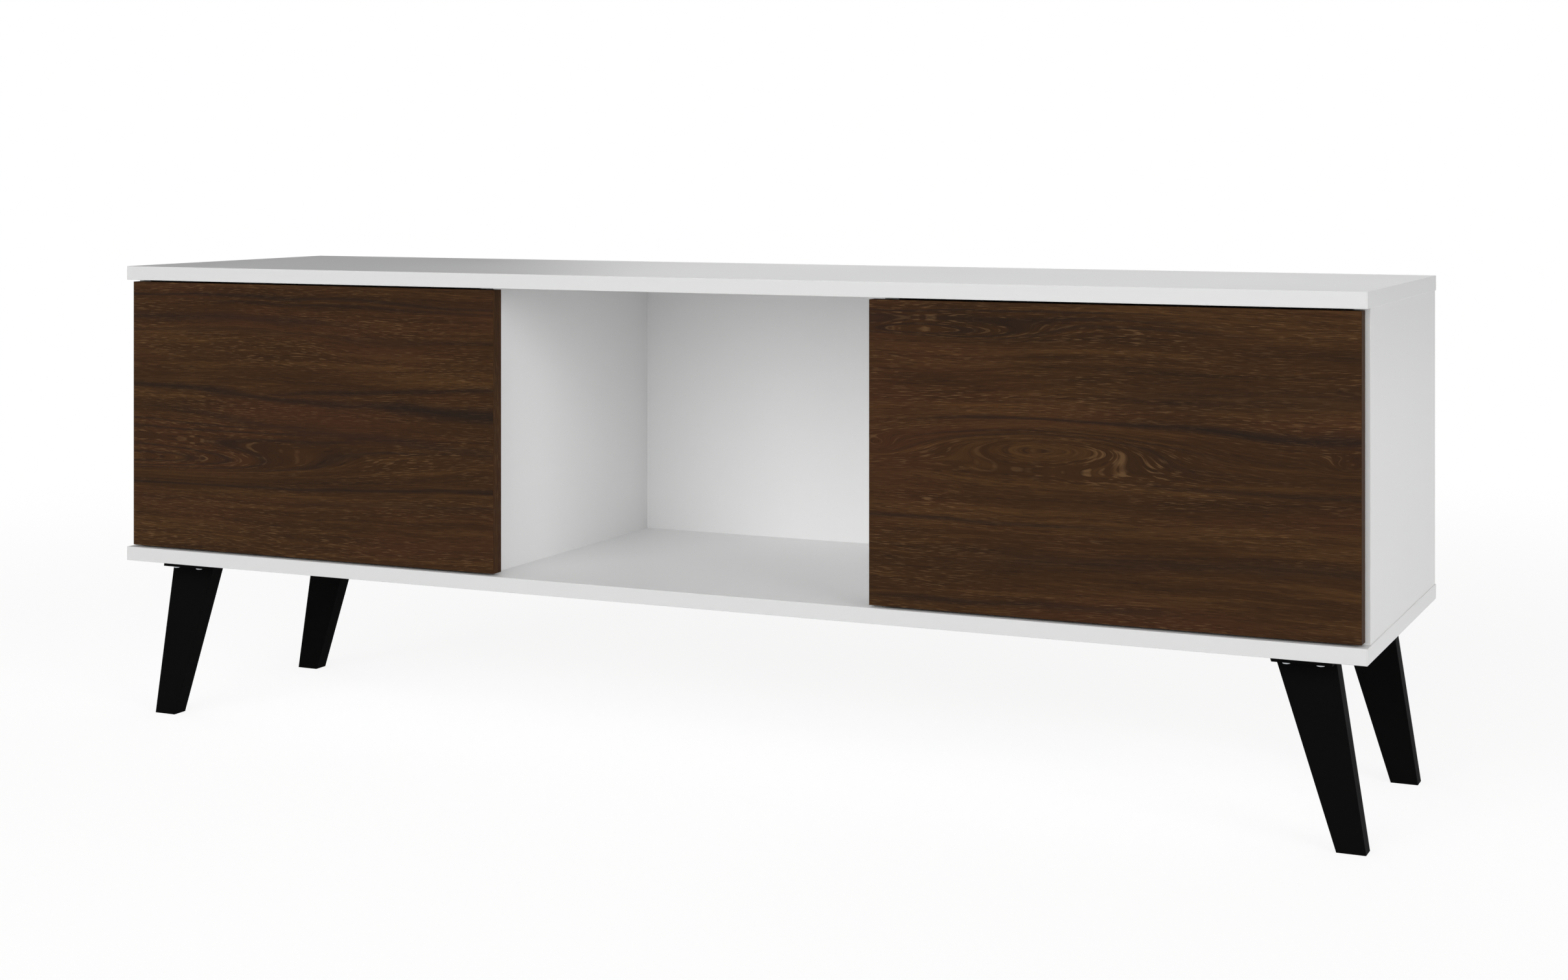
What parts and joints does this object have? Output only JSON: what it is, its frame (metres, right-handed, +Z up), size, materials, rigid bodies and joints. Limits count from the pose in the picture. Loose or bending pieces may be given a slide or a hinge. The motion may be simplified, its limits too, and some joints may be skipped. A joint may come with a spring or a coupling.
{
  "type": "media cabinet",
  "caption": "Low media cabinet with a white board carcass, an open centre niche between two side-hung dark walnut doors, and splayed black legs.",
  "frame": {"origin": "on the floor, under the middle of the whole cabinet", "axes": "+X along the cabinet to its right end as seen from the front, the doors face -Y, +Z up"},
  "size_m": [1.35, 0.3608, 0.498],
  "materials": {
    "white_board": "white laminate on particle board, satin",
    "door_board": "dark walnut foil, satin, grain along the length",
    "back_hardboard": "white lacquered hardboard",
    "leg_plastic": "black moulded plastic, fine satin",
    "dowel_wood": "beech",
    "zinc": "die-cast zinc",
    "plated_steel": "nickel plated",
    "screw_steel": "zinc plated"
  },
  "bodies": {
    "carcass": {"back_left_leg": "leg_plastic", "back_panel": "back_hardboard", "back_panel_nails": "screw_steel", "back_right_leg": "leg_plastic", "base_screws": "screw_steel", "bottom_panel": "white_board", "cam_locks": "zinc", "cam_pins": "screw_steel", "front_left_leg": "leg_plastic", "front_right_leg": "leg_plastic", "left_arm_pins": "screw_steel", "left_arm_screws": "screw_steel", "left_divider": "white_board", "left_lower_hinge_arm": "plated_steel", "left_lower_mounting_plate": "plated_steel", "left_plate_screws": "screw_steel", "left_side_panel": "white_board", "left_upper_hinge_arm": "plated_steel", "left_upper_mounting_plate": "plated_steel", "leg_screws": "screw_steel", "right_arm_pins": "screw_steel", "right_arm_screws": "screw_steel", "right_divider": "white_board", "right_lower_hinge_arm": "plated_steel", "right_lower_mounting_plate": "plated_steel", "right_plate_screws": "screw_steel", "right_side_panel": "white_board", "right_upper_hinge_arm": "plated_steel", "right_upper_mounting_plate": "plated_steel", "top_panel": "white_board", "wood_dowels": "dowel_wood"},
    "left_door": {"left_cup_pins": "screw_steel", "left_cup_screws": "screw_steel", "left_door": "door_board", "left_lower_hinge_cup": "plated_steel", "left_upper_hinge_cup": "plated_steel"},
    "left_inner_links": {"left_lower_inner_link": "plated_steel", "left_upper_inner_link": "plated_steel"},
    "left_outer_links": {"left_lower_outer_link": "plated_steel", "left_upper_outer_link": "plated_steel"},
    "right_door": {"right_cup_pins": "screw_steel", "right_cup_screws": "screw_steel", "right_door": "door_board", "right_lower_hinge_cup": "plated_steel", "right_upper_hinge_cup": "plated_steel"},
    "right_inner_links": {"right_lower_inner_link": "plated_steel", "right_upper_inner_link": "plated_steel"},
    "right_outer_links": {"right_lower_outer_link": "plated_steel", "right_upper_outer_link": "plated_steel"}
  },
  "joints": [
    {"name": "left_outer_link_turn", "type": "hinge", "parent": "carcass", "child": "left_outer_links", "pos_m": [-0.6474, -0.16225, 0.33625], "axis": [0, 0, 1], "range_deg": [0, 45.1]},
    {"name": "left_door_swing", "type": "hinge", "parent": "left_outer_links", "child": "left_door", "pos_m": [-0.6606, -0.16445, 0.33625], "axis": [0, 0, -1], "range_deg": [0, 140.1]},
    {"name": "left_inner_link_turn", "type": "hinge", "parent": "carcass", "child": "left_inner_links", "pos_m": [-0.6353, -0.1694, 0.33625], "axis": [0, 0, 1], "range_deg": [0, 39.9]},
    {"name": "right_outer_link_turn", "type": "hinge", "parent": "carcass", "child": "right_outer_links", "pos_m": [0.6474, -0.16225, 0.33625], "axis": [0, 0, -1], "range_deg": [0, 45.1]},
    {"name": "right_door_swing", "type": "hinge", "parent": "right_outer_links", "child": "right_door", "pos_m": [0.6606, -0.16445, 0.33625], "axis": [0, 0, 1], "range_deg": [0, 140.1]},
    {"name": "right_inner_link_turn", "type": "hinge", "parent": "carcass", "child": "right_inner_links", "pos_m": [0.6353, -0.1694, 0.33625], "axis": [0, 0, -1], "range_deg": [0, 39.9]}
  ],
  "couplings": [
    {"joint": "left_door_swing", "follows": "left_outer_link_turn", "ratio": 3.1053},
    {"joint": "left_inner_link_turn", "follows": "left_outer_link_turn", "ratio": 0.86318},
    {"joint": "right_door_swing", "follows": "right_outer_link_turn", "ratio": 3.1053},
    {"joint": "right_inner_link_turn", "follows": "right_outer_link_turn", "ratio": 0.86318}
  ]
}
